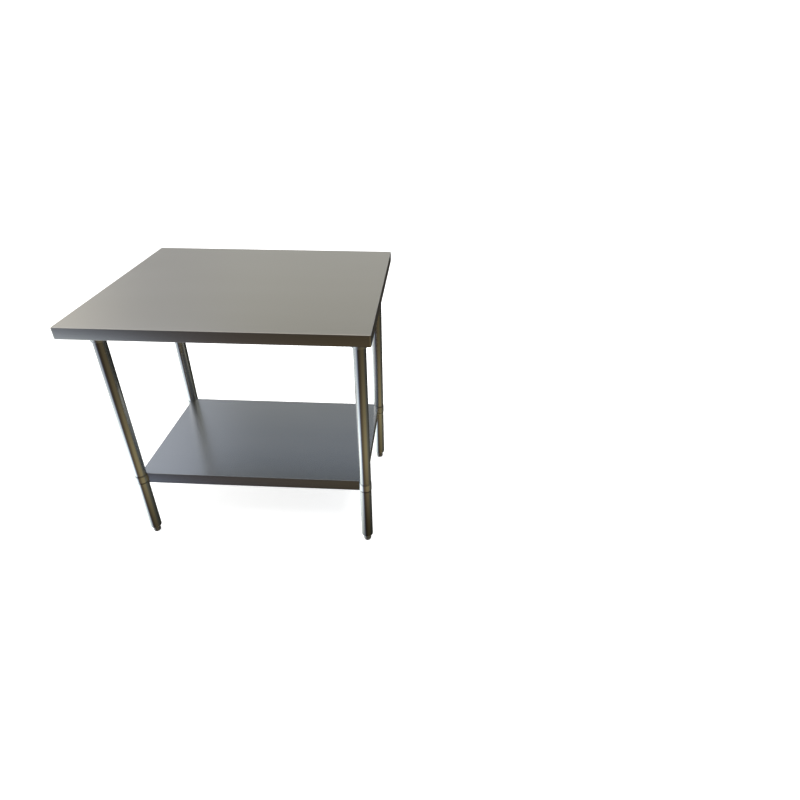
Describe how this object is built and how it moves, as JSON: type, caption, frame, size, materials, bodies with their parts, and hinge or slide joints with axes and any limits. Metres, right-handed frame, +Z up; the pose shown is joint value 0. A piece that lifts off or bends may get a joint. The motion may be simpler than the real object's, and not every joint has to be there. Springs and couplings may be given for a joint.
{
  "type": "stainless work table",
  "caption": "Stainless steel work table: folded sheet top on round tube legs, with a height-adjustable solid undershelf and screw-in bullet feet.",
  "frame": {"origin": "on the floor, under the middle of the worktop", "axes": "+X along the worktop's length, -Y towards the front, +Z up"},
  "size_m": [0.9144, 0.762, 0.9017],
  "materials": {
    "worktop_sheet": "satin, fine straight grain along the length",
    "shelf_sheet": "satin, fine straight grain along the length",
    "leg_tube": "polished tube",
    "gusset_steel": "satin pressing",
    "galvanised_sheet": "galvanised, dull",
    "plated_steel": "zinc plated",
    "foot_metal": "dark satin, turned"
  },
  "bodies": {
    "table": {"top_panel": "worktop_sheet", "top_channel_front": "galvanised_sheet", "channel_nut_front_1": "plated_steel", "channel_nut_front_2": "plated_steel", "channel_nut_front_3": "plated_steel", "channel_nut_front_4": "plated_steel", "top_channel_centre": "galvanised_sheet", "channel_nut_centre_1": "plated_steel", "channel_nut_centre_2": "plated_steel", "channel_nut_centre_3": "plated_steel", "channel_nut_centre_4": "plated_steel", "top_channel_rear": "galvanised_sheet", "channel_nut_rear_1": "plated_steel", "channel_nut_rear_2": "plated_steel", "channel_nut_rear_3": "plated_steel", "channel_nut_rear_4": "plated_steel", "leg_gusset_front_left": "gusset_steel", "gusset_screw_front_left": "plated_steel", "leg_front_left": "leg_tube", "leg_plug_front_left": "plated_steel", "leg_gusset_front_right": "gusset_steel", "gusset_screw_front_right": "plated_steel", "leg_front_right": "leg_tube", "leg_plug_front_right": "plated_steel", "leg_gusset_rear_left": "gusset_steel", "gusset_screw_rear_left": "plated_steel", "leg_rear_left": "leg_tube", "leg_plug_rear_left": "plated_steel", "leg_gusset_rear_right": "gusset_steel", "gusset_screw_rear_right": "plated_steel", "leg_rear_right": "leg_tube", "leg_plug_rear_right": "plated_steel"},
    "shelf": {"undershelf": "shelf_sheet", "shelf_channel": "galvanised_sheet", "shelf_collar_front_left": "leg_tube", "shelf_collar_front_right": "leg_tube", "shelf_collar_rear_left": "leg_tube", "shelf_collar_rear_right": "leg_tube"},
    "shelf_bolt_front_left": {"shelf_bolt_front_left": "plated_steel"},
    "shelf_bolt_front_right": {"shelf_bolt_front_right": "plated_steel"},
    "shelf_bolt_rear_left": {"shelf_bolt_rear_left": "plated_steel"},
    "shelf_bolt_rear_right": {"shelf_bolt_rear_right": "plated_steel"},
    "foot_front_left": {"foot_front_left": "foot_metal", "foot_stud_front_left": "plated_steel"},
    "foot_front_right": {"foot_front_right": "foot_metal", "foot_stud_front_right": "plated_steel"},
    "foot_rear_left": {"foot_rear_left": "foot_metal", "foot_stud_rear_left": "plated_steel"},
    "foot_rear_right": {"foot_rear_right": "foot_metal", "foot_stud_rear_right": "plated_steel"}
  },
  "joints": [
    {"name": "shelf_height", "type": "slide", "parent": "table", "child": "shelf", "axis": [0, 0, 1], "range_m": [-0.18, 0.52]},
    {"name": "foot_height_front_left", "type": "slide", "parent": "table", "child": "foot_front_left", "axis": [0, 0, -1], "range_m": [0, 0.0254]},
    {"name": "foot_height_front_right", "type": "slide", "parent": "table", "child": "foot_front_right", "axis": [0, 0, -1], "range_m": [0, 0.0254]},
    {"name": "foot_height_rear_left", "type": "slide", "parent": "table", "child": "foot_rear_left", "axis": [0, 0, -1], "range_m": [0, 0.0254]},
    {"name": "foot_height_rear_right", "type": "slide", "parent": "table", "child": "foot_rear_right", "axis": [0, 0, -1], "range_m": [0, 0.0254]},
    {"name": "bolt_release_front_left", "type": "slide", "parent": "shelf", "child": "shelf_bolt_front_left", "axis": [0.7071, 0.7071, 0], "range_m": [0, 0.005]},
    {"name": "bolt_release_front_right", "type": "slide", "parent": "shelf", "child": "shelf_bolt_front_right", "axis": [-0.7071, 0.7071, 0], "range_m": [0, 0.005]},
    {"name": "bolt_release_rear_left", "type": "slide", "parent": "shelf", "child": "shelf_bolt_rear_left", "axis": [0.7071, -0.7071, 0], "range_m": [0, 0.005]},
    {"name": "bolt_release_rear_right", "type": "slide", "parent": "shelf", "child": "shelf_bolt_rear_right", "axis": [-0.7071, -0.7071, 0], "range_m": [0, 0.005]}
  ]
}
